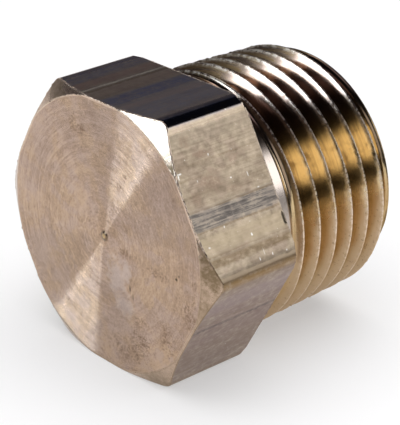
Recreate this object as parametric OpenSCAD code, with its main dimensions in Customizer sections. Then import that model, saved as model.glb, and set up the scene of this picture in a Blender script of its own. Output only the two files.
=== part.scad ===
// Hexagon head pipe plug with a tapered pipe thread, turned in one piece from drawn brass hexagon bar.
// It lies on one flat of its head: +Y runs along the axis out of the threaded end, +Z is up,
// and the origin is on the axis at the shoulder, where the head ends and the shank begins.

/* [Head] */
// Width of the hexagon across its flats
across_flats = 22; // [20:0.5:27]
// Length of the head along the axis
head_length = 8.4; // [6:0.1:14]
// Radius of the drawn bar's long edges
corner_radius = 1; // [0.4:0.1:1.6]
// How far the circle of the turned face runs past the middles of the flats
face_overrun = 0.1; // [0.02:0.01:0.3]
// Angle of the turned chamfer on the head's front, from the face
chamfer_angle = 30; // [15:1:40]
// Depth along the axis of the broken edge at the back of the head's corners
back_break = 0.23; // [0.1:0.01:0.6]

/* [Shank] */
// Length of the shank from the shoulder to the threaded end
shank_length = 12.95; // [10:0.05:18]
// Length of the plain neck between the shoulder and the thread
neck_length = 1.5; // [0.8:0.1:2.5]
// How far the plain neck lies below the thread's crests
neck_relief = 0.46; // [0.2:0.02:0.8]
// Height of the step that the threading tool leaves at the end of the neck
neck_step = 0.06; // [0.04:0.01:0.15]

/* [Taper thread] */
// Turns of thread in one inch
threads_per_inch = 14; // [11:0.5:20]
// Diameter over the crests at the threaded end
end_diameter = 20.72; // [19:0.02:22]
// Length in which the diameter grows by one
taper = 16; // [12:1:24]
// Angle between the two flanks of a groove
flank_angle = 60; // [55:1:65]
// Width of the flat left on the crests and in the roots
crest_flat = 0.11; // [0.06:0.01:0.2]
// Place of the first crest past the shoulder, where the helix crosses the +X side
first_crest = 2.43; // [1.5:0.01:4]
// Length in which the grooves reach their full depth past the neck
runout_length = 0.8; // [0.4:0.1:2]
// How far the chamfer at the threaded end cuts in below the crests
end_chamfer = 0.72; // [0.3:0.02:1]
// Angle of that chamfer, from the axis
end_chamfer_angle = 30; // [20:1:50]

/* [Core] */
// Metal left between the core and the roots of the thread at its end
core_wall = 1.5; // [1:0.1:4]
// Metal left between the tip of the core and the head's front face
face_thickness = 4.3; // [2.5:0.1:8]
// Point angle of the drill that makes the core
drill_angle = 118; // [90:1:140]

/* [Hidden] */
$fn = 96;

// Facets of the thread's surface in one turn
turn_facets = 48;
// Steps of the thread's surface down or up one flank
flank_steps = 3;
// Shortest step of that surface at its ends
least_step = 0.02;
// Steps of the arc at each of the bar's round edges
corner_steps = 6;
// Extra length that carries a cut clear of the surface that it ends at
clear = 1;

pitch = 25.4 / threads_per_inch;
flank_run = pitch / 2 - crest_flat;
thread_depth = flank_run / tan(flank_angle / 2);
end_radius = end_diameter / 2;
neck_radius = crest_radius(neck_length) - neck_relief;
start_radius = neck_radius - neck_step;
end_face_radius = end_radius - end_chamfer;

corner_centre = (across_flats / 2 - corner_radius) / cos(30);
corner_reach = corner_centre + corner_radius;
face_radius = across_flats / 2 + face_overrun;
back_slope = tan(chamfer_angle);

core_radius = end_radius - thread_depth - core_wall;
core_tip = face_thickness - head_length;
core_floor = core_tip + core_radius / tan(drill_angle / 2);

// Places of the surface's rows in one pitch, counted from the middle of a crest
flank_rows = [for (i = [0 : flank_steps - 1]) crest_flat / 2 + flank_run * i / flank_steps];
pitch_rows = concat([-crest_flat / 2], flank_rows, [for (row = flank_rows) row + pitch / 2]);
rows_per_turn = len(pitch_rows);

// Radius over the crests at a height above the shoulder
function crest_radius(height) = end_diameter / 2 + (shank_length - height) / (2 * taper);

// Soft step from 0 to 1
function soft_step(t) = let (s = min(1, max(0, t))) s * s * (3 - 2 * s);

// Depth below the crests of the helical groove: a crest flat, a flank, a root flat and a flank in each pitch
function groove_depth(height, angle) =
    let (turns = (height - first_crest) / pitch - angle / 360,
         off_crest = abs(turns - round(turns)) * pitch)
    thread_depth * min(1, max(0, (off_crest - crest_flat / 2) / flank_run));

// Radius of the threaded surface, which grows out of the neck and is cut by the end's chamfer
function thread_radius(height, angle) =
    let (full = crest_radius(height) - groove_depth(height, angle),
         grown = start_radius + (full - start_radius) * soft_step((height - neck_length) / runout_length),
         chamfered = end_face_radius + (shank_length - height) * tan(end_chamfer_angle))
    min(grown, chamfered);

// Height of a row of the threaded surface, which climbs one pitch in each turn
function row_height(row, angle) =
    first_crest + pitch * (floor(row / rows_per_turn) + angle / 360)
    + pitch_rows[row - rows_per_turn * floor(row / rows_per_turn)];

function thread_point(height, angle) =
    let (r = thread_radius(height, angle)) [r * cos(angle), r * sin(angle), height];

// Hexagonal bar with round edges, with two of its flats facing along Y
module hex_bar(length) {
    outline = [for (corner = [0 : 60 : 300], turn = [-30 : 60 / corner_steps : 30])
        corner_centre * [cos(corner), sin(corner)] + corner_radius * [cos(corner + turn), sin(corner + turn)]];
    linear_extrude(length) polygon(outline);
}

// Turned outline that cuts the bar: flat face, chamfer, corners and the broken back edge
module head_turning() {
    chamfer_depth = (corner_reach + clear - face_radius) * tan(chamfer_angle);
    back_radius = corner_reach - back_break / back_slope;
    back_depth = (corner_reach + clear - back_radius) * back_slope;
    rotate_extrude() polygon([
        [0, -head_length],
        [face_radius, -head_length],
        [corner_reach + clear, chamfer_depth - head_length],
        [corner_reach + clear, -back_depth],
        [back_radius, 0],
        [0, 0]
    ]);
}

module head() {
    intersection() {
        translate([0, 0, -head_length]) hex_bar(head_length);
        head_turning();
    }
}

// Threaded length of the shank: one closed surface whose rows follow the helix
module thread() {
    angles = [for (column = [0 : turn_facets - 1]) 360 * column / turn_facets];
    last_row = ceil(shank_length / pitch + 2) * rows_per_turn;
    inner_rows = [for (angle = angles) [for (row = [-last_row : last_row])
        if (row_height(row, angle) > neck_length + least_step
            && row_height(row, angle) < shank_length - least_step) row]];
    columns = [for (c = [0 : turn_facets - 1]) concat(
        [thread_point(neck_length, angles[c])],
        [for (row = inner_rows[c]) thread_point(row_height(row, angles[c]), angles[c])],
        [thread_point(shank_length, angles[c])])];
    starts = [for (c = 0, total = 0; c < turn_facets; total = total + len(columns[c]), c = c + 1) total];
    function point_index(row, column) =
        let (c = column % turn_facets,
             r = row + (column < turn_facets ? 0 : rows_per_turn))
        starts[c] + min(len(columns[c]) - 1, max(0, r - inner_rows[c][0] + 1));
    sides = [for (c = [0 : turn_facets - 1], row = [-last_row : last_row])
        let (a = point_index(row, c),
             b = point_index(row + 1, c),
             d = point_index(row + 1, c + 1),
             e = point_index(row, c + 1))
        each [[a, b, d], [a, d, e]]];
    walls = [for (f = sides) if (f[0] != f[1] && f[1] != f[2] && f[0] != f[2]) f];
    near_cap = [for (c = [0 : turn_facets - 1]) starts[c]];
    far_cap = [for (c = [turn_facets - 1 : -1 : 0]) starts[c] + len(columns[c]) - 1];
    polyhedron(points = [for (column = columns) each column], faces = concat(walls, [near_cap, far_cap]));
}

// Blind core drilled from the threaded end
module core() {
    rotate_extrude() polygon([
        [0, core_tip],
        [core_radius, core_floor],
        [core_radius, shank_length + clear],
        [0, shank_length + clear]
    ]);
}

module plug() {
    color("#b59a6c")
    rotate([-90, 0, 0])
    difference() {
        union() {
            head();
            cylinder(r = neck_radius, h = neck_length);
            thread();
        }
        core();
    }
}

plug();
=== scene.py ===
import math
from functools import reduce

import bpy
import numpy as np
from mathutils import Matrix, Vector


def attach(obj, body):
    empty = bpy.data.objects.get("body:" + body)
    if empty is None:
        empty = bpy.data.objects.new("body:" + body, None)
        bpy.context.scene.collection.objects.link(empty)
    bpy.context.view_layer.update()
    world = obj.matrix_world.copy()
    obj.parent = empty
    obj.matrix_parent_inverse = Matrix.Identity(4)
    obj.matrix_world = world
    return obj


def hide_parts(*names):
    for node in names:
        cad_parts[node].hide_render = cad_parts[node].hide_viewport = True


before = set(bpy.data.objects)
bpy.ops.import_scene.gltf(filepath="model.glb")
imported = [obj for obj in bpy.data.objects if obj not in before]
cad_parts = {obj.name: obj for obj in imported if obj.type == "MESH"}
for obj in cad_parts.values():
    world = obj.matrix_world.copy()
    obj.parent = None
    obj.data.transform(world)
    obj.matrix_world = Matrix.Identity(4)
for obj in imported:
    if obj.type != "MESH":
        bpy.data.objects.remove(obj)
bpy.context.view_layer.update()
print("frame loaded:", sorted(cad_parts))

scene = bpy.context.scene
scene.view_settings.view_transform = "Standard"
perMetre = 0.001          # the shapes below are worked out in millimetres
hexTurn = math.radians(60)
inch = 25.4               # millimetres
alongAxis = (0.0, 1.0, 0.0)
towardsFace = (0.0, -1.0, 0.0)
black, white = (0.0, 0.0, 0.0), (1.0, 1.0, 1.0)


# an object with its data, put in the scene
def addObject(name, data):
    made = bpy.data.objects.new(name, data)
    scene.collection.objects.link(made)
    return made


# a sheet of quads in one material
def addSheet(name, points, quads, material):
    mesh = bpy.data.meshes.new(name)
    mesh.from_pydata((points * perMetre).tolist(), [], quads.tolist())
    mesh.materials.append(material)
    return addObject(name, mesh)


# Shader maths: a signal stands for one output socket, and its operators add Math nodes
class Signal:
    def __init__(self, tree, socket=None):
        self.tree = tree
        self.socket = socket

    # adds any node: its settings first, then the values or links of its sockets
    def node(self, kind, settings, inputs, output=0):
        made = self.tree.nodes.new(kind)
        for name, value in settings.items():
            setattr(made, name, value)
        for name, value in inputs.items():
            if isinstance(value, Signal):
                self.tree.links.new(value.socket, made.inputs[name])
            else:
                made.inputs[name].default_value = value
        return Signal(self.tree, made.outputs[output] if made.outputs else None)

    # another output of the same node
    def other(self, name):
        return Signal(self.tree, self.socket.node.outputs[name])

    def math(self, operation, *terms):
        return self.node("ShaderNodeMath", {"operation": operation}, dict(enumerate(terms)))

    def __add__(self, other):
        return self.math("ADD", self, other)

    def __sub__(self, other):
        return self.math("SUBTRACT", self, other)

    def __rsub__(self, other):
        return self.math("SUBTRACT", other, self)

    def __mul__(self, other):
        return self.math("MULTIPLY", self, other)

    def __truediv__(self, other):
        return self.math("DIVIDE", self, other)

    def __rtruediv__(self, other):
        return self.math("DIVIDE", other, self)

    __radd__ = __add__
    __rmul__ = __mul__


# soft step of a signal: 0 below the first edge, 1 or another top value above the second
def softStep(signal, low, high, top=1.0):
    return signal.node("ShaderNodeMapRange", {"interpolation_type": "SMOOTHSTEP"},
                       {"Value": signal, "From Min": low, "From Max": high, "To Max": top})


# mixes two colours by a factor, through the colour sockets of the mix node
def mixColour(factor, first, second):
    def shade(colour):
        return colour if isinstance(colour, Signal) else (*colour, 1)
    return factor.node("ShaderNodeMix", {"data_type": "RGBA"},
                       {0: factor, 6: shade(first), 7: shade(second)}, 2)


# layers of a look's colours over a first one, each by its own factor
def layered(look, colour, *layers):
    for factor, name in layers:
        colour = mixColour(factor, colour, look[name])
    return colour


# the stronger of two signals
def stronger(first, second):
    return first.math("MAXIMUM", first, second)


# a signal without its sign
def magnitude(signal):
    return signal.math("ABSOLUTE", signal)


# noise on a place vector, 0 to 1 about 0.5
def noiseOn(place, scale, detail, rough):
    return place.node("ShaderNodeTexNoise", {}, {"Vector": place, "Scale": scale, "Detail": detail,
                                                 "Roughness": rough})


# patches of noise: a soft step of it
def stepNoise(place, scale, detail, rough, *edges):
    return softStep(noiseOn(place, scale, detail, rough), *edges)


# several noises on a place, by their names in a look
def noisesOn(place, look, *names):
    return [noiseOn(place, *look[name]) for name in names]


# a noise set about zero, times a share
def uneven(noise, share):
    return (noise - 0.5) * share


# the sum of several noises set about zero, each times its share
def unevenSum(noises, shares):
    return reduce(Signal.__add__, map(uneven, noises, shares))


def vectorMath(place, operation, first, second=None):
    inputs = {0: first} if second is None else {0: first, 1: second}
    return place.node("ShaderNodeVectorMath", {"operation": operation}, inputs)


# noise on a place stretched by a factor along each axis
def stretchedNoise(place, factors, detail, rough):
    return noiseOn(vectorMath(place, "MULTIPLY", place, factors), 1.0, detail, rough)


# one finish of the plug: the object's own millimetres as a start, a metal shader to feed
def startFinish(name):
    material = bpy.data.materials.new(name)
    material.use_nodes = True
    tree = material.node_tree
    tree.nodes.clear()
    start = Signal(tree)
    metres = start.node("ShaderNodeTexCoord", {}, {}, "Object")
    place = start.node("ShaderNodeMapping", {}, {"Vector": metres, "Scale": (1 / perMetre,) * 3})
    return material, place


def endFinish(material, place, colour, rough, normal):
    inputs = {"Base Color": colour, "Metallic": 1.0, "Roughness": rough, "Normal": normal}
    metal = place.node("ShaderNodeBsdfPrincipled", {}, inputs)
    place.node("ShaderNodeOutputMaterial", {}, {"Surface": metal})
    return material


# splits a place into x, y, z and the distance from the plug's axis
def splitPlace(place):
    x = place.node("ShaderNodeSeparateXYZ", {}, {"Vector": place}, "X")
    z = x.other("Z")
    square = x * x + z * z
    return x, x.other("Y"), z, square.math("SQRT", square)


def joinPlace(signal, x, y, z):
    return signal.node("ShaderNodeCombineXYZ", {}, {"X": x, "Y": y, "Z": z})


# the surface's own normal, and that normal tilted along directions by signals
def ownNormal(place):
    return place.node("ShaderNodeNewGeometry", {}, {}, "Normal")


def tiltNormal(place, *tilts):
    normal = ownNormal(place)
    for direction, amount in tilts:
        push = place.node("ShaderNodeVectorMath", {"operation": "SCALE"}, {0: direction, "Scale": amount})
        normal = vectorMath(place, "ADD", normal, push)
    return vectorMath(place, "NORMALIZE", normal)


# the direction away from the plug's axis
def outwardFrom(place, x, z):
    return vectorMath(place, "NORMALIZE", joinPlace(place, x, 0.0, z))


# noise in broken rings: the place changes slowly round the axis and quickly across it
def ringNoise(place, outward, radius, around, across, detail, rough):
    slow = vectorMath(place, "MULTIPLY", outward, (around,) * 3)
    quick = joinPlace(place, 0.0, radius * across, 0.0)
    return noiseOn(vectorMath(place, "ADD", slow, quick), 1.0, detail, rough)


# noise in cutting rings: the place changes quickly across and along the axis and slowly sideways
def cuttingNoise(place, x, y, radius, quick, slow, detail, rough):
    return noiseOn(joinPlace(place, radius * quick, y * quick, x * slow), 1.0, detail, rough)


# tilt across turned grooves: a zigzag of the distance from the axis, -1 to 1 and back in each pitch, nearly
# flat in its middle and a steep, slightly curved flank near its ends, wider away from the axis
def grooveTilt(radius, look):
    zigzag = radius.math("PINGPONG", radius / look["groovePitch"], 0.5) * 4 - 1
    near = look["flankNear"]
    share = (softStep(radius, *look["flankFade"]) * (1 - near) + near) * look["flankShare"]
    flank = softStep(magnitude(zigzag) + share, 1.0, 1.05)
    curved = (zigzag.math("SIGN", zigzag) + zigzag) * 0.5
    return curved * flank * look["flankTilt"] + zigzag * look["landTilt"]


# soft spot: 1 inside an ellipse about a centre and 0 outside, with an edge that a noise makes ragged
spotRagged, spotEdge = 2.2, (0.35, 1.1)


def softSpot(across, along, wobble, spot):
    dx = (across - spot[0]) / spot[2]
    dy = (along - spot[1]) / spot[3]
    square = dx * dx + dy * dy
    reach = square.math("SQRT", square) + uneven(wobble, spotRagged)
    return 1 - softStep(reach, *spotEdge)


# the strongest of several soft spots, each with its own strength
def softSpots(across, along, wobble, spots):
    return reduce(stronger, [softSpot(across, along, wobble, spot) * spot[4] for spot in spots])


# sharp edges of the head and crests of the thread, from the mesh: 1 on the edge
def nearEdge(place):
    return place.node("ShaderNodeAttribute", {"attribute_name": "nearEdge"}, {}, "Fac")


# Turned face of the head: fine grooves about the axis, tan and mauve patches, brown stains, a grey smear
# and a few pits
turnedFace = dict(
    light=(0.52, 0.377, 0.282), tanned=(0.53, 0.374, 0.25), mauve=(0.475, 0.352, 0.284),
    brown=(0.28, 0.18, 0.12), grey=(0.55, 0.455, 0.41), dark=(0.09, 0.055, 0.03), yellow=(0.46, 0.33, 0.17),
    roughness=0.1, stainRoughness=0.12, groovePitch=0.037, flankShare=0.28, flankNear=0.6,
    flankFade=(0.5, 6.0), flankTilt=0.7, landTilt=0.07, ringTilt=0.25,
    # noises: scale, detail, roughness, and for patches a soft step
    grain=(2.2, 6.0, 0.78), cloud=(0.42, 4.0, 0.6), wobble=(1.7, 5.0, 0.7), flecks=(5.0, 3.0, 0.7),
    blotch=(0.8, 2.0, 0.5), drift=(0.7, 2.0, 0.5), specks=(3.4, 3.0, 0.6, 0.62, 0.72, 0.35),
    # ring noises: change round the axis and across it, detail and roughness
    rings=(2.6, 4.2, 6.0, 0.75), arcs=(0.9, 2.4, 2.0, 0.5),
    # brown tone: shares of the rings, grain, cloud and flecks, base, lean, least stain; the smear's strength
    toneShares=(1.4, 1.3, 1.1, 1.1), toneBase=0.3, toneLean=0.002, stainLeast=0.18, smeared=0.65,
    # soft steps: edges, in millimetres for places, and strength if not 1
    stainBreak=(0.48, 0.62, 0.85), tanEdge=(0.5, 0.62, 0.7), mauveEdge=(0.5, 0.38, 0.7),
    arcEdge=(0.0, 0.04), arcSide=(2.0, -3.0, 0.3), footEdge=(-4.0, -10.0, 0.25), pipTop=(0.1, 0.3),
    ringInner=(0.14, 0.24, 0.65), ringOuter=(0.34, 0.5),
    # spots: across and up the face, half width and height, strength
    brownSpots=[(1.95, 4.75, 0.3, 0.5, 0.9), (2.6, 5.6, 0.4, 0.4, 0.8), (4.4, -7.6, 1.7, 1.2, 0.7),
        (2.2, -9.0, 2.4, 1.1, 0.7), (7.2, -6.4, 0.9, 1.8, 0.6), (-6.9, 1.1, 0.3, 0.6, 0.8),
        (-3.2, 8.4, 1.5, 1.0, 0.6), (4.2, -5.9, 1.1, 0.5, 0.7), (-1.8, 0.6, 0.9, 0.5, 0.4),
        (6.2, -1.0, 1.5, 0.5, 0.9), (-4.7, -7.4, 1.2, 0.5, 0.4), (2.5, -0.6, 0.8, 0.5, 0.9),
        (-4.4, 5.0, 0.5, 0.3, 0.6), (9.6, -3.0, 0.5, 1.6, 0.7), (1.2, 2.6, 0.6, 0.9, 0.4),
        (10.3, -0.4, 0.3, 0.5, 0.9), (10.35, -1.9, 0.3, 0.5, 0.9), (10.2, -3.2, 0.4, 0.5, 0.8)],
    tan=[(-5.2, 1.3, 3.0, 2.4, 0.9), (-4.3, -2.6, 3.2, 2.2, 0.9), (6.8, -0.6, 2.8, 2.4, 0.9),
        (5.0, -3.0, 2.4, 2.4, 0.9), (7.6, -7.5, 2.0, 1.4, 1.0), (-2.4, -6.6, 2.0, 2.8, 0.8),
        (3.4, 6.4, 1.4, 2.0, 0.7)],
    haze=[(-0.4, 9.4, 2.2, 1.6, 0.9), (-4.6, 7.4, 1.6, 2.6, 0.7), (-7.6, 5.2, 1.6, 2.6, 0.8),
        (6.8, 5.6, 2.4, 2.6, 0.9), (4.9, 2.2, 1.8, 1.4, 0.5), (1.3, -6.9, 1.8, 1.8, 0.8),
        (-8.2, -4.0, 1.4, 2.2, 0.7), (-5.2, -5.8, 1.4, 1.2, 0.6)],
    smear=[(1.35, -3.1, 1.4, 2.1, 0.9), (2.55, -2.2, 0.7, 1.1, 0.9), (2.3, -5.1, 1.4, 1.3, 0.8)],
    pits=[(8.35, -0.6, 0.16, 0.16, 1.0), (8.65, -0.25, 0.1, 0.1, 0.7), (2.95, -3.4, 0.12, 0.45, 0.8),
        (3.3, -4.1, 0.14, 0.4, 0.6)])


def makeTurnedFace(look, name):
    material, place = startFinish(name)
    x, _, z, radius = splitPlace(place)
    outward = outwardFrom(place, x, z)
    rings = ringNoise(place, outward, radius, *look["rings"])
    grain, cloud, flecks, wobble = noisesOn(place, look, "grain", "cloud", "flecks", "wobble")
    blotch, drift = noisesOn(place, look, "blotch", "drift")
    normal = tiltNormal(place, (outward, grooveTilt(radius, look) + uneven(rings, look["ringTilt"])))
    # tone, 0 clean and 1 brown: noises, stains broken up by flecks, specks, and less at the foot of the face,
    # which is painted light where the foot mirrors the plug's shadow on the floor
    tone = unevenSum((rings, grain, cloud, flecks), look["toneShares"])
    broken = softStep(flecks + uneven(grain, 0.8), *look["stainBreak"]) + look["stainLeast"]
    tone = tone + softSpots(x, z, wobble, look["brownSpots"]) * broken + stepNoise(place, *look["specks"])
    tone = tone + (x - z) * look["toneLean"] + look["toneBase"] - softStep(z, *look["footEdge"])
    # clean arcs on the left, where a ring noise crosses its middle
    arcs = magnitude(ringNoise(place, outward, radius, *look["arcs"]) - 0.5)
    tone = tone - (1 - softStep(arcs, *look["arcEdge"])) * softStep(x, *look["arcSide"])
    # patches, the smear, and the pip in a dark ring
    tan = stronger(softSpots(x, z, drift, look["tan"]), softStep(blotch, *look["tanEdge"]))
    haze = stronger(softSpots(x, z, drift, look["haze"]), softStep(blotch, *look["mauveEdge"]))
    smear = softSpots(x, z, wobble, look["smear"]) * look["smeared"]
    pip = 1 - softStep(radius, *look["pipTop"])
    outer = 1 - softStep(radius + uneven(grain, 0.3), *look["ringOuter"])
    pits = stronger(softSpots(x, z, wobble, look["pits"]), softStep(radius, *look["ringInner"]) * outer)
    colour = layered(look, look["light"], (tan, "tanned"), (haze, "mauve"), (tone, "brown"),
                     (smear, "grey"), (pip, "yellow"), (pits, "dark"))
    return endFinish(material, place, colour, look["roughness"] + tone * look["stainRoughness"], normal)


# Turned chamfer: smoother than the face, brown in places from stains and from painted shade, with bright
# broken edges that are partly painted highlight, and painted shade on its lower edges
turnedChamfer = dict(
    light=(0.6, 0.445, 0.34), brown=(0.24, 0.17, 0.1), edge=(0.95, 0.76, 0.6), roughness=0.2,
    stainRoughness=0.16, edgeRoughness=0.3, edgeTilt=3.0, groovePitch=0.037, flankShare=0.12, flankNear=0.6,
    flankFade=(1.0, 7.0), flankTilt=0.3, landTilt=0.05,
    # noises: scale, detail, roughness, and for patches a soft step
    bumps=(4.0, 2.0, 0.6), ripples=(3.1, 2.0, 0.6), grain=(2.2, 5.0, 0.72), wobble=(1.7, 5.0, 0.7),
    edgeBreaks=(1.1, 4.0, 0.7, 0.33, 0.5),
    # parts of the brown tone, and strengths of the lower edges' painted shade and the upper edges' wear and
    # painted highlight
    toneBase=0.22, spotTone=0.75, spotGrain=1.2, wobbleTone=0.6, lowEdgeShade=0.7, upperWearAndHighlight=0.85,
    # soft steps: heights in millimetres, and strength if not 1
    upperEdge=(0.5, 2.5), wearAndHighlightFrom=(1.2, 3.2), footEdge=(-6.0, -10.0, 0.2),
    # a place whose edge is smooth, across and up the face, half width and height
    smoothSpot=(6.3, 10.3, 3.0, 2.4),
    # spots: across and up the face, half width and height, strength
    # the first two spots, by the right-hand corner, are painted shade for the dark surroundings that the
    # chamfer mirrors there
    brownSpots=[(11.8, 1.4, 1.3, 2.8, 0.95), (11.5, -2.6, 1.8, 3.2, 0.6), (8.0, 8.2, 0.5, 0.6, 0.8),
        (5.6, -10.4, 1.8, 1.2, 0.35), (-5.8, 10.3, 1.6, 1.2, 0.7)])


def makeTurnedChamfer(look, name):
    material, place = startFinish(name)
    x, _, z, radius = splitPlace(place)
    edge = nearEdge(place)
    upper = softStep(z, *look["upperEdge"])
    outward = outwardFrom(place, x, z)
    around = vectorMath(place, "CROSS_PRODUCT", outward, alongAxis)
    bumps, ripples, grain, wobble = noisesOn(place, look, "bumps", "ripples", "grain", "wobble")
    smooth = softSpot(x, z, bumps * 0.2 + 0.4, look["smoothSpot"])
    jagged = edge * upper * (1 - smooth) * look["edgeTilt"]
    normal = tiltNormal(place, (outward, grooveTilt(radius, look) + uneven(bumps, jagged)),
                        (around, uneven(ripples, jagged)))
    # tone, 0 clean and 1 brown: noises, coarser in the brown spots, and more at the foot
    brownSpots = softSpots(x, z, wobble, look["brownSpots"])
    tone = uneven(grain, brownSpots * look["spotGrain"] + 1.0) + uneven(wobble, look["wobbleTone"])
    tone = tone + brownSpots * look["spotTone"] + look["toneBase"] + softStep(z, *look["footEdge"])
    # the upper edges are bright from wear and from a painted highlight; the lower edges get a painted shade
    wearAndHighlight = edge * softStep(z, *look["wearAndHighlightFrom"]) * stepNoise(place, *look["edgeBreaks"])
    colour = layered(look, look["light"], (tone, "brown"), (edge * (1 - upper) * look["lowEdgeShade"], "brown"),
                     (wearAndHighlight * look["upperWearAndHighlight"], "edge"))
    rough = look["roughness"] + tone * look["stainRoughness"]
    rough = rough + wearAndHighlight * (look["edgeRoughness"] - look["roughness"])
    return endFinish(material, place, colour, rough, normal)


# Drawn flats of the bar: long streaks along the axis, bands of grey and brown, painted shade over the lower
# flat, bright nicks and upper edges that are partly painted highlight
greyBand, brownBand, darkLine = (0.32, 0.29, 0.265), (0.25, 0.175, 0.095), (0.13, 0.115, 0.105)
# the dark purple band over the whole lower flat is painted shade for the dim floor that it mirrors
navyBand, lowFlatShade = (0.18, 0.20, 0.33), (0.245, 0.16, 0.14)
drawnFlats = dict(
    light=(0.55, 0.45, 0.335), dark=(0.26, 0.2, 0.135), blush=(0.52, 0.4, 0.325), nickGlint=(0.95, 0.92, 0.86),
    edge=(0.95, 0.8, 0.64), smudge=(0.3, 0.21, 0.15), roughness=0.34, mottleRoughness=0.35,
    edgeRoughness=0.1, cornerRoughness=0.1, lowCornerRoughness=0.12, streakTilt=0.35, edgeTilt=1.4,
    # noises: scale, detail and roughness
    speckle=(5.0, 2.0, 0.6), cloud=(0.8, 4.0, 0.65), ripples=(3.3, 2.0, 0.6),
    # stretched noises: factors along the axes, detail and roughness
    fine=((5.0, 0.09, 5.0), 5.0, 0.7), broad=((0.9, 0.04, 0.9), 4.0, 0.6),
    mottle=((2.0, 1.5, 2.0), 5.0, 0.75), lines=((6.0, 0.35, 6.0), 4.0, 0.7),
    # dark tone: shares of the fine, broad, mottled and cloudy noises, and base; the edges' wear and painted
    # highlight
    toneShares=(1.2, 1.4, 1.2, 0.9), toneBase=0.36, wearAndHighlight=0.9,
    # soft steps: edges, in millimetres for places, and strength if not 1
    lineEdge=(0.42, 0.6), blushEdge=(0.44, 0.6, 0.6), patchEdge=(0.3, 0.58, 0.55),
    smudgeEdge=(0.3, 0.6, 0.6), nickGlintEdge=(0.73, 0.78, 0.8), wearAndHighlightEdge=(0.34, 0.5),
    calmBelow=(0.5, -1.0, 0.65), wearAndHighlightFrom=(1.2, 3.2), cornerFrom=(4.0, 6.0), bandFlat=(10.4, 10.9),
    nickFlat=(10.6, 10.9), cornerEdge=(12.15, 12.35),
    # angle of the flat with the nicks and smudges
    nickAngle=30,
    # angle of the flat, middle and half width across it, colour, strength and share of fine lines
    bands=[(30, -1.2, 0.8, greyBand, 0.85, 0.2), (30, -1.15, 0.75, darkLine, 0.9, 1.0),
        (30, -0.45, 0.08, brownBand, 0.6, 0.5), (30, -2.03, 0.09, brownBand, 0.6, 0.4),
        (30, -4.45, 0.34, brownBand, 0.75, 0.3), (30, -3.9, 0.05, brownBand, 0.4, 0.5),
        (30, 2.9, 0.06, brownBand, 0.3, 0.5), (30, 1.9, 0.06, brownBand, 0.3, 0.5),
        (30, -5.75, 0.16, (0.66, 0.52, 0.36), 0.7, 0.2), (30, 5.2, 1.1, (0.44, 0.37, 0.28), 0.4, 0.4),
        (90, 2.45, 0.12, (0.98, 0.9, 0.72), 0.9, 0.2), (90, 2.05, 0.14, brownBand, 0.7, 0.2),
        (90, 3.4, 0.6, (0.46, 0.28, 0.22), 0.7, 0.5), (90, -0.6, 0.8, navyBand, 0.95, 0.4),
        (90, 4.9, 0.9, navyBand, 0.7, 0.6), (90, -3.3, 1.9, (0.36, 0.36, 0.44), 0.7, 0.3),
        (90, -2.2, 0.4, (0.56, 0.4, 0.3), 0.6, 0.6), (90, -5.75, 0.3, (0.05, 0.06, 0.1), 0.9, 0.1),
        (90, -6.4, 0.5, (0.2, 0.27, 0.5), 0.8, 0.1), (90, 1.2, 0.7, (0.46, 0.32, 0.24), 0.6, 0.6),
        # the first band darkens the whole lower flat with painted shade
        (-30, 0.0, 6.2, lowFlatShade, 0.9, 0.2), (-30, 1.1, 0.2, (0.13, 0.085, 0.075), 0.9, 0.3),
        (-30, 1.8, 0.1, brownBand, 0.5, 0.5), (-30, -2.6, 1.6, (0.27, 0.185, 0.13), 0.6, 0.2),
        (-30, -4.4, 0.12, brownBand, 0.5, 0.5), (-30, 3.9, 0.9, (0.33, 0.25, 0.24), 0.6, 0.2),
        (30, -3.1, 0.7, (0.6, 0.49, 0.33), 0.6, 0.2), (30, -6.3, 0.42, (0.31, 0.2, 0.09), 0.9, 0.2)],
    # spots: along the axis and across the right-hand flat, half sizes, strength
    nicksAndGlints=[(-4.86, 3.2, 0.09, 0.12, 1.0), (-3.61, 1.05, 0.1, 0.08, 1.0), (-3.54, -3.4, 0.1, 0.16, 1.0),
        (-3.58, -5.3, 0.09, 0.13, 1.0), (-2.29, -5.3, 0.06, 0.14, 0.8), (-0.9, -5.4, 0.1, 0.08, 0.8),
        (-1.44, -0.3, 0.12, 0.06, 0.7), (-5.7, -2.15, 0.06, 0.12, 0.8), (-1.9, 5.9, 0.1, 0.1, 0.7),
        (-6.6, 1.6, 0.05, 0.12, 0.6), (-8.1, 2.35, 0.08, 0.3, 1.0), (-7.9, 2.5, 0.25, 0.08, 0.9),
        (-2.0, 0.9, 0.05, 0.25, 0.6), (-3.0, -4.9, 0.04, 0.3, 0.5), (-7.6, -3.2, 0.12, 0.08, 0.6)],
    smudges=[(-5.5, 1.2, 1.4, 0.9, 0.7), (-5.5, 3.4, 0.9, 0.35, 0.7), (-6.6, 4.6, 0.6, 0.6, 0.5),
        (-2.6, 2.4, 1.0, 0.4, 0.4), (-3.6, 0.2, 1.0, 0.4, 0.4), (-7.2, 0.4, 0.6, 0.6, 0.5)])


# places across a flat of the head and out from the axis towards it
def flatPlace(x, z, degrees):
    turn = math.radians(degrees)
    return z * math.cos(turn) - x * math.sin(turn), x * math.cos(turn) + z * math.sin(turn)


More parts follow.
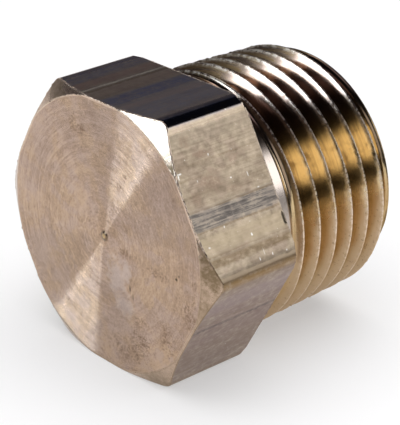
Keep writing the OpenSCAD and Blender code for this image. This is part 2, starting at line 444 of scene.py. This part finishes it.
def makeDrawnFlats(look, name):
    material, place = startFinish(name)
    x, y, z, radius = splitPlace(place)
    fine, broad, mottle, lines = [stretchedNoise(place, *look[key])
                                  for key in ("fine", "broad", "mottle", "lines")]
    lines = softStep(lines, *look["lineEdge"])
    speckle, cloud, ripples = noisesOn(place, look, "speckle", "cloud", "ripples")
    # tone, 0 clean and 1 dark, with calmer streaks on the lower flats
    tone = unevenSum((fine, broad, mottle, cloud), look["toneShares"]) + look["toneBase"]
    calm = 1 - softStep(z, *look["calmBelow"])
    tone = tone - uneven(fine, look["toneShares"][0]) * (1 - calm)
    colour = layered(look, look["light"], (softStep(cloud, *look["blushEdge"]), "blush"), (tone, "dark"))
    # bands: edges that waver, broken up by the mottle and by fine lines
    waver = unevenSum((fine, mottle), (0.3, 0.35))
    patchy = softStep(mottle, *look["patchEdge"]) + 0.45
    for angle, middle, half, shade, strength, lined in look["bands"]:
        across, outward = flatPlace(x, z, angle)
        band = 1 - softStep(magnitude(across + waver - middle), half * 0.6, half * 1.3)
        band = band * softStep(outward, *look["bandFlat"]) * (lines * lined + 1 - lined) * patchy * strength
        colour = mixColour(band, colour, shade)
    # smudges and nicks on one flat, scattered nicks and worn upper edges on all; the nicks' near-white and
    # the upper edges' brightness are partly painted highlight
    across, outward = flatPlace(x, z, look["nickAngle"])
    onFlat = softStep(outward, *look["nickFlat"])
    speckled = softStep(speckle, *look["smudgeEdge"]) + 0.4
    smudges = softSpots(y, across, mottle, look["smudges"]) * onFlat * speckled
    nicksAndGlints = softSpots(y, across, speckle, look["nicksAndGlints"]) * onFlat
    nicksAndGlints = stronger(nicksAndGlints, softStep(speckle, *look["nickGlintEdge"]))
    edge = nearEdge(place) * softStep(mottle, *look["wearAndHighlightEdge"]) * softStep(z, *look["wearAndHighlightFrom"])
    colour = layered(look, colour, (smudges, "smudge"), (nicksAndGlints, "nickGlint"), (edge * look["wearAndHighlight"], "edge"))
    # the upper corners are smoother than the flats, the lower ones rougher
    onCorner = softStep(radius, *look["cornerEdge"])
    corner = onCorner * softStep(z, *look["cornerFrom"])
    rough = look["roughness"] + corner * (look["cornerRoughness"] - look["roughness"])
    rough = rough + uneven(mottle, look["mottleRoughness"]) * (1 - corner) + edge * look["edgeRoughness"]
    rough = rough + (onCorner - corner) * look["lowCornerRoughness"]
    sideways = vectorMath(place, "CROSS_PRODUCT", ownNormal(place), alongAxis)
    jagged = edge * look["edgeTilt"]
    streaks = uneven(fine, look["streakTilt"]) * (1 - corner * 0.8) * calm
    normal = tiltNormal(place, (sideways, streaks + uneven(speckle, jagged)),
                        (towardsFace, (ripples - 0.4) * jagged))
    return endFinish(material, place, colour, rough, normal)


# Cut thread and neck: clean metal in the middle, painted shade along the top, tarnish and painted shade
# towards the floor, crests rubbed and with a painted highlight on top, and a pale neck that is partly painted
# highlight
cutThread = dict(
    # the neck's pale, nearly white colour is partly a painted highlight
    neck=(0.86, 0.75, 0.67), groove=(0.77, 0.59, 0.33), tarnishAndLowShade=(0.53, 0.37, 0.225),
    # the bronze colour on the top of the thread is painted shade, which tones down the lamps' highlight there
    crest=(0.92, 0.8, 0.66), brown=(0.22, 0.135, 0.06), bronzeTopShade=(0.38, 0.255, 0.195),
    golden=(0.5, 0.32, 0.11), roughness=0.13, crestRoughness=0.36, neckRoughness=0.2, dirtRoughness=0.2,
    tarnishRoughness=0.2, lowNeckRoughness=0.25, markTilt=0.07, swellTilt=0.22,
    # noises: scale, detail, roughness, and for patches a soft step
    cloud=(1.1, 5.0, 0.68), swell=(0.8, 3.0, 0.6), breaks=(2.8, 2.0, 0.6, 0.44, 0.56, 0.75),
    specks=(3.6, 3.0, 0.65, 0.61, 0.7, 0.55),
    # cutting marks: quick and slow change, detail and roughness
    marks=(5.0, 0.12, 4.0, 0.6),
    # soft steps of noises: edges and strength
    dirtEdge=(0.54, 0.75, 0.4), markEdge=(0.55, 0.72, 0.3), smokeShadeEdge=(0.36, 0.58, 0.55),
    streakMarks=(0.35, 0.65, 0.5), streakCloud=(0.4, 0.65, 0.5),
    # soft steps of places and depths: millimetres, and strength if not 1; the crests' wear and painted
    # highlight
    swellBelow=(3.5, 6.5), lowShadeBelow=(-0.5, 3.4), bronzeShadeFrom=(6.2, 8.2), threadFrom=(1.4, 2.0),
    smokeShadeLeft=(-7.0, -4.0), smokeShadeRight=(0.1, 1.3), smokeShadeFrom=(6.0, 9.0), goldenDepth=(0.3, 0.9),
    rootGrimeAndShadeDepth=(0.3, 1.2, 0.75), runoutStart=(1.3, 1.7, 0.1), runoutEnd=(2.0, 2.4), runoutBelow=(3.0, 6.0),
    wearAndHighlightFrom=(-5.0, 2.0, 0.75), specksBelow=(0.0, 4.0), roughBelow=(2.0, 4.5), wearAndHighlight=0.9)


def makeCutThread(look, name):
    material, place = startFinish(name)
    x, y, z, radius = splitPlace(place)
    marks = cuttingNoise(place, x, y, radius, *look["marks"])
    cloud, swell = noisesOn(place, look, "cloud", "swell")
    below = 1 - softStep(z, *look["swellBelow"])
    tilt = uneven(marks, look["markTilt"]) + uneven(swell, below) * look["swellTilt"]
    normal = tiltNormal(place, (outwardFrom(place, x, z), tilt))
    onThread = softStep(y, *look["threadFrom"])
    # the lower side darker: tarnish, and painted shade for the dimmer floor that the metal mirrors there
    tarnishAndLowShade = 1 - softStep(z + uneven(cloud, 4.0), *look["lowShadeBelow"])
    tarnishAndLowShade = tarnishAndLowShade * (onThread * 0.75 + 0.15)
    # dirt in patches and in the cutting marks, and smoky dirt with a painted dark reflection along the top,
    # on its left
    dirt = softStep(cloud, *look["dirtEdge"]) + softStep(marks, *look["markEdge"])
    top = x + uneven(cloud, 2.0)
    smokeAndShade = softStep(top, *look["smokeShadeLeft"]) * (1 - softStep(top, *look["smokeShadeRight"]))
    smokeAndShade = smokeAndShade * softStep(z, *look["smokeShadeFrom"]) * (softStep(marks, *look["smokeShadeEdge"]) + 0.4)
    # from here the dirt also holds the painted dark reflection along the top
    dirt = stronger(dirt, smokeAndShade)
    # gold in the roots on the lower side, a painted shading of the teeth, and dirt with painted shade in the
    # roots, by how far the surface lies under the cone over the crests
    depth = crestRadius(y, plugSize) - radius
    streaked = softStep(marks, *look["streakMarks"]) + softStep(cloud, *look["streakCloud"])
    golden = softStep(depth, *look["goldenDepth"]) * tarnishAndLowShade * (streaked * 0.6 + 0.4)
    rootGrimeAndShade = softStep(depth, *look["rootGrimeAndShadeDepth"]) * streaked * onThread * (1 - tarnishAndLowShade * 0.45)
    # the run-out on the lower side gets a painted shade, which dims its bright reflection there
    runoutShade = softStep(y, *look["runoutStart"]) * (1 - softStep(y, *look["runoutEnd"]))
    runoutShade = runoutShade * (1 - softStep(z, *look["runoutBelow"]))
    # crests rubbed bright in broken lengths, more so on top, which is a painted highlight, and dark specks on
    # the lower side
    wearAndHighlight = (stepNoise(place, *look["breaks"]) + 0.25) * (softStep(z, *look["wearAndHighlightFrom"]) + 0.25)
    wearAndHighlight = wearAndHighlight * nearEdge(place)
    specks = stepNoise(place, *look["specks"]) * (1 - softStep(z, *look["specksBelow"]))
    colour = layered(look, look["neck"], (onThread, "groove"), (softStep(z, *look["bronzeShadeFrom"]), "bronzeTopShade"),
                     (dirt, "brown"), (tarnishAndLowShade, "tarnishAndLowShade"), (golden, "golden"), (rootGrimeAndShade, "brown"),
                     (runoutShade, "brown"), (wearAndHighlight * look["wearAndHighlight"], "crest"), (specks, "brown"))
    rough = look["neckRoughness"] + onThread * (look["roughness"] - look["neckRoughness"])
    rough = rough + dirt * look["dirtRoughness"] + tarnishAndLowShade * look["tarnishRoughness"]
    rough = rough + wearAndHighlight * (look["crestRoughness"] - look["roughness"])
    lowNeck = (1 - onThread) * (1 - softStep(z, *look["roughBelow"]))
    return endFinish(material, place, colour, rough + lowNeck * look["lowNeckRoughness"], normal)


# Faced end and drilled core: plain cutting rings
drilledCore = dict(
    colour=(0.64, 0.5, 0.34), brown=(0.36, 0.25, 0.15), roughness=0.3, dirtRoughness=0.2, ringTilt=0.25,
    # dirt by noise: scale, detail, roughness, then a soft step
    dirt=(0.6, 4.0, 0.6, 0.5, 0.75, 0.5),
    # cutting rings: quick and slow change, detail and roughness
    rings=(6.0, 0.1, 3.0, 0.6))


def makeDrilledCore(look, name):
    material, place = startFinish(name)
    x, y, z, radius = splitPlace(place)
    rings = cuttingNoise(place, x, y, radius, *look["rings"])
    outward = vectorMath(place, "NORMALIZE", joinPlace(place, x, radius * 0.6, z))
    normal = tiltNormal(place, (outward, uneven(rings, look["ringTilt"])))
    dirt = stepNoise(place, *look["dirt"])
    colour = layered(look, look["colour"], (dirt, "brown"))
    return endFinish(material, place, colour, look["roughness"] + dirt * look["dirtRoughness"], normal)


# The plug: its sizes in millimetres, as in the solid, but with steeper flanks and wider roots in the thread,
# and with a pip, rounded and burred edges and a dent, which the solid leaves out
plugSize = dict(
    acrossFlats=22.0, headLength=8.4, cornerRadius=1.0, faceRadius=11.1, chamferAngle=30.0, backBreak=0.23,
    shankLength=12.95, neckLength=1.5, neckRelief=0.46, neckStep=0.06, threadsPerInch=14.0,
    endDiameter=20.72, taper=16.0, flankAngle=55.0, crestFlat=0.11, rootFlat=0.27, firstCrest=2.43,
    runoutLength=0.8, endChamfer=0.72, endChamferAngle=30.0, coreWall=1.5, faceThickness=4.3,
    drillAngle=118.0, pipRadius=0.34, pipHeight=0.07, edgeRadius=0.085, edgeBurr=0.04, crestBurr=0.045,
    dentAngle=14.2, dentWidth=1.9, dentDepth=0.09, rimClearance=0.12, faceBand=0.3, neckFillet=0.12,
    mouthRound=0.2, coreRound=0.3,
    # columns round each side, at each corner and its angle, and columns merged where it is plain
    columnsPerSide=84, cornerColumns=8, cornerSpan=2.6, coarseColumns=6,
    # burrs: steps in a turn of the thread, first and last turn, seeds
    burrSteps=400, burrTurns=(-4, 14), frontSeed=3, backSeed=4, crestSeed=5)

# how strong a burr, or the edges' wear with its painted highlight and painted shade, is on the five rows of a
# rounded edge, and the dent's share on them
edgeBump = np.array([0, 0.7, 1, 0.7, 0])
edgeMarkShare = np.array([0, 0.8, 1, 1, 0.9])
dentShare = np.array([0.3, 0.6, 1, 1, 0.4])

# the pip that parting off left: a low round stub in a shallow ring, in shares of its radius and height
pipShape = {"out": np.array([0, 0.3, 0.55, 0.75, 0.9, 1.0, 1.15, 1.4, 1.8, 2.3]),
            "rise": np.array([1, 0.97, 0.85, 0.6, 0.3, -0.1, -0.35, -0.3, -0.1, 0])}


# angles of the columns round the axis, closer together at the hexagon's corners
def columnAngles(size):
    count = size["columnsPerSide"]
    tight = size["cornerColumns"]
    steps = np.arange(count) / count
    corner = math.radians(size["cornerSpan"])
    side = np.interp(steps, [0, tight / count, 1 - tight / count, 1], [0, corner, hexTurn - corner, hexTurn])
    turns = np.arange(6)[:, None] * hexTurn
    return np.append((turns + side).ravel(), 2 * math.pi)


# distance from the axis to the round-edged hexagon: half the width over the cosine of the angle off
# the middle of a flat, or on an edge the far side of a circle whose centre lies on the corner's ray
def hexRadius(angle, size):
    half = size["acrossFlats"] / 2
    edge = size["cornerRadius"]
    centre = (half - edge) / math.cos(hexTurn / 2)
    off = np.abs((angle + hexTurn / 2) % hexTurn - hexTurn / 2)
    tangent = math.atan2(edge * math.sin(hexTurn / 2), centre + edge * math.cos(hexTurn / 2))
    flat = half / np.cos(hexTurn / 2 - off)
    arc = centre * np.cos(off) + np.sqrt(np.maximum(edge ** 2 - (centre * np.sin(off)) ** 2, 0))
    return np.where(off < tangent, arc, flat)


# rows of a rounded corner between three profile points: a parabola that leaves each side at most reach away
def roundCorner(before, corner, after, reach, count=5):
    def cut(other):
        away = other - corner
        length = np.maximum(np.linalg.norm(away, axis=-1, keepdims=True), 1e-9)
        return corner + away / length * np.minimum(reach, length / 2)
    first, last = cut(before), cut(after)
    t = np.linspace(0, 1, count)[:, None, None]
    return (1 - t) ** 2 * first + 2 * t * (1 - t) * corner + t ** 2 * last


# straight rows between two profile points, at shares of the way
def straight(first, last, shares):
    t = np.asarray(shares, float)[:, None, None]
    return first + (last - first) * t


def ring(radius, height, angle):
    return np.stack([np.broadcast_to(radius, angle.shape), np.broadcast_to(height, angle.shape)], -1)


# seeded heights of a burr at a number of steps: low bumps, with a few that stand up
def burrHeights(count, seed):
    draw = np.random.default_rng(seed)
    low = np.abs(draw.normal(0, 0.3, count))
    tall = (draw.random(count) < 0.1) * draw.random(count) * 1.6
    return low + tall


# a burr on the rows of a rounded edge: heights that close round the turn, pushed out and along the axis,
# strongest in the middle of the edge and none under the flat that the plug lies on
def burrEdge(rows, angle, size, seed, along):
    height = burrHeights(angle.size - 1, seed)
    height = np.append(height, height[0]) * np.clip((np.sin(angle) + 0.86) * 8, 0, 1)
    weight = edgeBump[:, None, None]
    return rows + weight * height[:, None] * size["edgeBurr"] * np.array([0.7, 0.7 * along])


# radius over the thread's crests, which shrinks by half a millimetre in every taper's length
def crestRadius(height, size):
    return size["endDiameter"] / 2 + (size["shankLength"] - height) / (2 * size["taper"])


# pitch of the thread, width of one flank along the axis, and depth of the groove under the crests
def threadForm(size):
    pitch = inch / size["threadsPerInch"]
    run = pitch / 2 - (size["crestFlat"] + size["rootFlat"]) / 2
    return pitch, run, run / math.tan(math.radians(size["flankAngle"] / 2))


# radius of the threaded surface: the crest cone less a groove with flats in its root and on its crest,
# grown out of the neck over the run-out and cut by the chamfer at the end
def threadRadius(height, turns, size):
    pitch, run, depth = threadForm(size)
    off = np.abs(turns - np.round(turns)) * pitch
    groove = depth * np.clip((off - size["crestFlat"] / 2) / run, 0, 1)
    neck = crestRadius(size["neckLength"], size) - size["neckRelief"] - size["neckStep"]
    share = np.clip((height - size["neckLength"]) / size["runoutLength"], 0, 1)
    grown = neck + (crestRadius(height, size) - groove - neck) * share ** 2 * (3 - 2 * share)
    endRadius = size["endDiameter"] / 2 - size["endChamfer"]
    chamfer = endRadius + (size["shankLength"] - height) * math.tan(math.radians(size["endChamferAngle"]))
    return np.minimum(grown, chamfer)


# rows of the thread, which climb one pitch in each turn and stop at the neck and at the end
def threadRows(angle, size):
    pitch = threadForm(size)[0]
    half = size["crestFlat"] / 2
    root = pitch / 2
    foot = root - size["rootFlat"] / 2
    offs = np.array([0, half, half + 0.02, 0.2, 0.4, 0.6, foot - 0.04, foot])
    offs = np.concatenate([offs, [root], 2 * root - offs[:0:-1]])
    crests = np.arange(-2, math.ceil(size["shankLength"] / pitch) + 2)
    places = (crests[:, None] * pitch + offs).ravel()[:, None]
    height = size["firstCrest"] + places - pitch * angle / (2 * math.pi)
    height = np.clip(height, size["neckLength"], size["shankLength"])
    turns = (height - size["firstCrest"]) / pitch + angle / (2 * math.pi)
    radius = threadRadius(height, turns, size)
    off = np.abs(turns - np.round(turns)) * pitch
    # the burr on the crests runs on from turn to turn, so that it meets itself where the angle starts again
    perTurn = size["burrSteps"]
    steps = np.arange(size["burrTurns"][0] * perTurn, size["burrTurns"][1] * perTurn)
    heights = burrHeights(steps.size, size["crestSeed"])
    onHelix = np.interp(np.round(turns) - angle / (2 * math.pi), steps / perTurn, heights)
    # none at the run-out and at the chamfered end, where the crests aren't whole
    whole = np.clip((height - 2.2) / 0.6, 0, 1) * np.clip((size["shankLength"] - 0.4 - height) / 0.4, 0, 1)
    radius = radius + onHelix * size["crestBurr"] * np.clip(1 - off / 0.09, 0, 1) * whole
    nearCrest = 1 - np.clip((off - half) / 0.05, 0, 1)
    return np.stack([radius, height], -1), nearCrest


def pipRows(back, angle, size):
    grid = (pipShape["out"].size, angle.size)
    out = np.broadcast_to(pipShape["out"][:, None] * size["pipRadius"], grid)
    height = np.broadcast_to(back - pipShape["rise"][:, None] * size["pipHeight"], grid)
    return np.stack([out, height], -1)


# The whole plug is one profile carried round the axis: out over the face, along the head and the thread,
# over the end and back down the core, each row a ring of points at a radius and a height along the axis
def plugRows(size):
    angle = columnAngles(size)
    merged = size["coarseColumns"]
    coarse = np.append(np.repeat(angle[:-1:merged], merged), angle[-1])

    # corners of the profile: the head, the neck, the thread, then the core
    back = -size["headLength"]
    reach = size["edgeRadius"]
    hexed = hexRadius(angle, size)
    slope = math.tan(math.radians(size["chamferAngle"]))
    hub = ring(0.0, back, angle)
    inner = ring(size["acrossFlats"] / 2 - size["faceBand"], back, angle)
    rim = ring(np.minimum(size["faceRadius"], hexed - size["rimClearance"]), back, angle)
    front = ring(hexed, back + np.maximum(hexed - size["faceRadius"], 0) * slope, angle)
    breakRadius = hexed.max() - size["backBreak"] / slope
    rear = ring(hexed, -np.maximum(hexed - breakRadius, 0) * slope, angle)
    shoulder = ring(np.minimum(hexed, breakRadius), 0.0, angle)
    neckRadius = crestRadius(size["neckLength"], size) - size["neckRelief"]
    neckStart = ring(neckRadius, 0.0, angle)
    neckEnd = ring(neckRadius, size["neckLength"], angle)
    thread, nearCrest = threadRows(angle, size)
    coreRadius = size["endDiameter"] / 2 - threadForm(size)[2] - size["coreWall"]
    tip = size["faceThickness"] - size["headLength"]
    mouth = ring(coreRadius, size["shankLength"], angle)
    coreFoot = ring(coreRadius, tip + coreRadius / math.tan(math.radians(size["drillAngle"] / 2)), angle)
    coreTip = ring(0.0, tip, angle)

    # rounded edges of the head, two of them burred, and a dent in the back edge of one flat
    rimEdge = roundCorner(hub, rim, front, reach)
    frontEdge = burrEdge(roundCorner(rim, front, rear, reach), angle, size, size["frontSeed"], -1)
    backEdge = burrEdge(roundCorner(front, rear, shoulder, reach), angle, size, size["backSeed"], 1)
    dent = np.exp(-((np.degrees(angle) - size["dentAngle"]) / size["dentWidth"]) ** 4) * size["dentDepth"]
    backEdge = backEdge - dent[:, None] * np.array([0.5, 1.0]) * dentShare[:, None, None]

    # blocks of rows: the finish, the rows, the angles of their columns, and how near they lie to an edge
    alongFlat = [0.012, 0.04, 0.16, 0.28, 0.4, 0.52, 0.64, 0.76, 0.88, 0.96, 0.988]
    blocks = [
        ("face", pipRows(back, angle, size), coarse, 0.0),
        ("face", straight(hub, inner, [0.15, 0.4, 0.7, 0.95]), coarse, 0.0),
        ("face", straight(hub, inner, [1.0]), angle, 0.0),
        ("face", straight(hub, rim, [1 - 1.3 * reach / size["faceRadius"]]), angle, 0.0),
        ("chamfer", rimEdge, angle, edgeBump[:, None] * 0.4),
        ("chamfer", straight(rimEdge[-1], frontEdge[0], [0.1, 0.5, 0.92]), angle, 0.0),
        ("chamfer", frontEdge, angle, edgeMarkShare[:, None]),
        ("flats", straight(front, rear, alongFlat), angle, 0.0),
        ("flats", backEdge, angle, edgeMarkShare[::-1, None]),
        ("flats", roundCorner(rear, shoulder, neckStart, reach), angle, 0.0),
        ("flats", straight(shoulder, neckStart, [0.3, 0.7]), angle, 0.0),
        ("thread", roundCorner(shoulder, neckStart, neckEnd, size["neckFillet"]), angle, 0.0),
        ("thread", straight(neckStart, neckEnd, [0.4, 0.7, 0.94, 1.0]), angle, 0.0),
        ("thread", thread, angle, nearCrest),
        ("core", straight(thread[-1], mouth, [0.05, 0.5]), angle, 0.0),
        ("core", roundCorner(thread[-1], mouth, coreFoot, size["mouthRound"]), coarse, 0.0),
        ("core", straight(mouth, coreFoot, [0.1, 0.5, 0.9]), coarse, 0.0),
        ("core", roundCorner(mouth, coreFoot, coreTip, size["coreRound"]), coarse, 0.0),
        ("core", straight(coreFoot, coreTip, [0.4, 0.7, 0.9, 1.0]), coarse, 0.0)]
    finish, rows, turn, edge = zip(*blocks)
    grids = [block.shape[:2] for block in rows]
    part = np.repeat(finish, [grid[0] for grid in grids])
    turn = np.concatenate([np.broadcast_to(angles, grid) for angles, grid in zip(turn, grids)])
    edge = np.concatenate([np.broadcast_to(weight, grid) for weight, grid in zip(edge, grids)])
    rows = np.concatenate(rows)
    points = np.stack([rows[..., 0] * np.cos(turn), rows[..., 1], rows[..., 0] * np.sin(turn)], -1)
    return points, part, edge


# quads between the neighbours in a grid of point numbers
def gridQuads(index):
    return np.stack([index[:-1, :-1], index[1:, :-1], index[1:, 1:], index[:-1, 1:]], -1).reshape(-1, 4)


# welds equal points, then keeps the quads, the triangles that the welding leaves, and no thinner face
def weldGrid(points, weld=1e-5):
    rows, columns = points.shape[:2]
    flat = points.reshape(-1, 3)
    _, first, index = np.unique(np.round(flat / weld).astype(np.int64), axis=0,
                                return_index=True, return_inverse=True)
    index = index.reshape(rows, columns)
    quads = gridQuads(index)
    owner = np.repeat(np.arange(rows - 1), columns - 1)
    same = quads == np.roll(quads, -1, axis=1)
    crossed = (quads[:, 0] == quads[:, 2]) | (quads[:, 1] == quads[:, 3])
    whole = (same.sum(1) == 0) & ~crossed
    three = (same.sum(1) == 1) & ~crossed
    corners = quads[three][~same[three]].reshape(-1, 3)
    return flat[first], first, quads[whole], owner[whole], corners, owner[three]


def buildPlug(size, finishes):
    points, part, edge = plugRows(size)
    places, first, quads, quadRows, corners, cornerRows = weldGrid(points)
    mesh = bpy.data.meshes.new("plug_body")
    loops = np.concatenate([quads.ravel(), corners.ravel()])
    lengths = np.concatenate([np.full(len(quads), 4), np.full(len(corners), 3)])
    mesh.vertices.add(len(places))
    mesh.vertices.foreach_set("co", (places * perMetre).ravel().astype(np.float32))
    mesh.loops.add(len(loops))
    mesh.loops.foreach_set("vertex_index", loops.astype(np.int32))
    mesh.polygons.add(len(lengths))
    mesh.polygons.foreach_set("loop_start", np.concatenate([[0], np.cumsum(lengths)[:-1]]).astype(np.int32))
    names = list(finishes)
    for name in names:
        mesh.materials.append(finishes[name])
    faceRows = np.concatenate([quadRows, cornerRows])
    rowFinish = np.array([names.index(name) for name in part])
    mesh.polygons.foreach_set("material_index", rowFinish[faceRows + 1].astype(np.int32))
    mesh.polygons.foreach_set("use_smooth", np.ones(len(lengths), bool))
    mesh.update(calc_edges=True)
    mesh.validate()
    attribute = mesh.attributes.new("nearEdge", "FLOAT", "POINT")
    attribute.data.foreach_set("value", edge.ravel()[first].astype(np.float32))
    print("plug surface:", len(places), "points,", len(quads) * 2 + len(corners), "triangles")
    return addObject("plug_body", mesh)


finishes = {"face": makeTurnedFace(turnedFace, "turned_face"),
            "chamfer": makeTurnedChamfer(turnedChamfer, "turned_chamfer"),
            "flats": makeDrawnFlats(drawnFlats, "drawn_flats"),
            "thread": makeCutThread(cutThread, "cut_thread"),
            "core": makeDrilledCore(drilledCore, "drilled_core")}
plug = buildPlug(plugSize, finishes)
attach(plug, "root")
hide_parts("plug")
print("plug placed")


# Pale floor under the flat that the plug lies on
floorLook = dict(height=-11.0, halfWidth=2500.0, columns=3, colour=(0.95, 0.95, 0.95), whitened=0.4)


def buildFloor(look):
    count = look["columns"]
    across = np.linspace(-look["halfWidth"], look["halfWidth"], count)
    x, y = np.meshgrid(across, across, indexing="ij")
    points = np.stack([x, y, np.full_like(x, look["height"])], -1).reshape(-1, 3)
    quads = gridQuads(np.arange(count ** 2).reshape(count, count))
    # part of what the camera and the metal see of it is plain white, so that the shadow stays soft
    material, place = startFinish("pale_floor")
    paint = place.node("ShaderNodeBsdfDiffuse", {}, {"Color": (*look["colour"], 1)})
    plain = place.node("ShaderNodeEmission", {}, {"Color": (*white, 1)})
    ray = place.node("ShaderNodeLightPath", {}, {}, "Is Camera Ray")
    seen = stronger(ray, ray.other("Is Glossy Ray"))
    mixed = place.node("ShaderNodeMixShader", {}, {0: seen * look["whitened"], 1: paint, 2: plain})
    place.node("ShaderNodeOutputMaterial", {}, {"Surface": mixed})
    return addSheet("floor", points, quads, material)


floor = buildFloor(floorLook)
print("floor laid")


# Lamps: place by azimuth from -Y towards +X, elevation and distance, size, plain brightness of their face,
# colour, whether metal mirrors them and whether they light the floor
coolWhite = (0.83, 1.0, 1.16)
lampColumns = ("azimuth", "elevation", "distance", "width", "height", "brightness", "colour",
               "mirrored", "onFloor")
lamps = {
    "overhead": (0.0, 89.9, 900.0, 1600.0, 1600.0, 2.0, white, False, True),
    "frontLeft": (-22.5, 23.5, 600.0, 330.0, 250.0, 1.8, coolWhite, True, False),
    "frontMiddle": (-22.0, 23.5, 595.0, 280.0, 210.0, 4.0, coolWhite, True, False),
    "frontStrip": (-8.0, 22.0, 590.0, 40.0, 200.0, 5.0, coolWhite, True, False),
    "topLeft": (-122.0, 56.0, 600.0, 260.0, 150.0, 2.0, white, True, False),
    "rightBack": (126.0, 24.5, 600.0, 470.0, 330.0, 0.5, white, True, True),
    "rightMiddle": (126.0, 24.0, 595.0, 420.0, 240.0, 0.9, white, True, True)}


def addLamp(name, look):
    data = bpy.data.lights.new(name, "AREA")
    data.shape = "RECTANGLE"
    data.size = look["width"] * perMetre
    data.size_y = look["height"] * perMetre
    data.color = look["colour"]
    data.energy = look["brightness"] * math.pi * data.size * data.size_y  # power of a face of that brightness
    lamp = addObject(name, data)
    azimuth, elevation = math.radians(look["azimuth"]), math.radians(look["elevation"])
    away = Vector((math.sin(azimuth) * math.cos(elevation), -math.cos(azimuth) * math.cos(elevation),
                   math.sin(elevation)))
    lamp.location = away * look["distance"] * perMetre
    lamp.rotation_euler = (-away).to_track_quat("-Z", "Y").to_euler()
    lamp.visible_camera = False
    lamp.visible_glossy = look["mirrored"]
    lamp.visible_diffuse = look["onFloor"]


for name, row in lamps.items():
    addLamp(name, dict(zip(lampColumns, row)))

# Dark cards that stand beside the plug and show only in its metal: azimuth, width in degrees, distance,
# their lowest and highest points, and the height over which they fade from pale at the floor to dark
cards = {
    "frontCard": dict(azimuth=16.0, spread=44.0, distance=52.0, low=-11.0, high=9.0, fade=9.0),
    "backCard": dict(azimuth=132.0, spread=70.0, distance=70.0, low=-11.0, high=10.0, fade=6.0)}
cardColumns, cardDark, cardPale = 13, (0.004,) * 3, (0.904,) * 3


# a card is part of an upright cylinder about the plug
def addCard(name, look):
    turn = np.radians(look["azimuth"] + np.linspace(-0.5, 0.5, cardColumns) * look["spread"])
    rim = np.stack([np.sin(turn), -np.cos(turn)], -1) * look["distance"]
    points = np.concatenate([np.column_stack([rim, np.full(cardColumns, look[end])])
                             for end in ("low", "high")])
    quads = gridQuads(np.arange(2 * cardColumns).reshape(2, cardColumns).T)
    material, place = startFinish(name)
    z = splitPlace(place)[2]
    fade = 1 - softStep(z, look["low"], look["low"] + look["fade"])
    shade = mixColour(fade, cardDark, cardPale)
    grey = place.node("ShaderNodeEmission", {}, {"Color": shade})
    place.node("ShaderNodeOutputMaterial", {}, {"Surface": grey})
    card = addSheet(name, points, quads, material)
    card.visible_camera = False
    card.visible_diffuse = False
    card.visible_shadow = False


for name, look in cards.items():
    addCard(name, look)

# dim bluish room: some light near the horizon behind to the left, a window on the right and a skylight,
# less elsewhere and almost none high up
room = dict(
    behind=0.1, horizon=0.045, high=0.006, lightSide=(-0.755, 0.656, 0.0), window=0.4,
    windowSide=(0.67, -0.65, 0.36), skylight=0.5, colour=(1.0, 0.95, 1.15),
    # soft steps: of the direction towards the light side and the window, and of the height
    lightEdge=(0.3, 0.8), windowEdge=(0.91, 0.97), highEdge=(0.45, 0.62), skylightEdge=(0.93, 0.97))
world = bpy.data.worlds.new("room")
world.use_nodes = True
scene.world = world
world.node_tree.nodes.clear()
sky = Signal(world.node_tree)
ray = sky.node("ShaderNodeTexCoord", {}, {}, "Generated")
up = sky.node("ShaderNodeSeparateXYZ", {}, {"Vector": ray}, "Z")


def towards(side):
    return sky.node("ShaderNodeVectorMath", {"operation": "DOT_PRODUCT"}, {0: ray, 1: side}, "Value")


behind = softStep(towards(room["lightSide"]), *room["lightEdge"])
low = behind * (room["behind"] - room["horizon"]) + room["horizon"]
level = low + softStep(up, *room["highEdge"]) * (room["high"] - low)
level = level + softStep(towards(room["windowSide"]), *room["windowEdge"]) * room["window"]
level = level + softStep(up, *room["skylightEdge"]) * room["skylight"]
# the plug mirrors the dim room, as the real one does, and the camera sees it white
shade = mixColour(level, black, room["colour"])
shade = mixColour(sky.node("ShaderNodeLightPath", {}, {}, "Is Camera Ray"), shade, white)
glow = sky.node("ShaderNodeBackground", {}, {"Color": shade})
sky.node("ShaderNodeOutputWorld", {}, {"Surface": glow})
print("lamps, cards and room set")


# Camera at the photograph's place: axes to the right, up and back out of the picture
view = dict(
    place=(99.03, -86.58, 60.48), right=(0.66547, 0.74641, -0.00412), up=(-0.31212, 0.28328, 0.90682),
    back=(0.67803, -0.60218, 0.42149), lens=155.08, sensor=36.0, near=0.005, far=20.0)
lensData = bpy.data.cameras.new("camera")
lensData.lens = view["lens"]
lensData.sensor_width = view["sensor"]
lensData.clip_start = view["near"]
lensData.clip_end = view["far"]
camera = addObject("camera", lensData)
turned = Matrix([view["right"], view["up"], view["back"]]).transposed().to_4x4()
camera.matrix_world = Matrix.Translation(Vector(view["place"]) * perMetre) @ turned
scene.camera = camera
print("camera set")
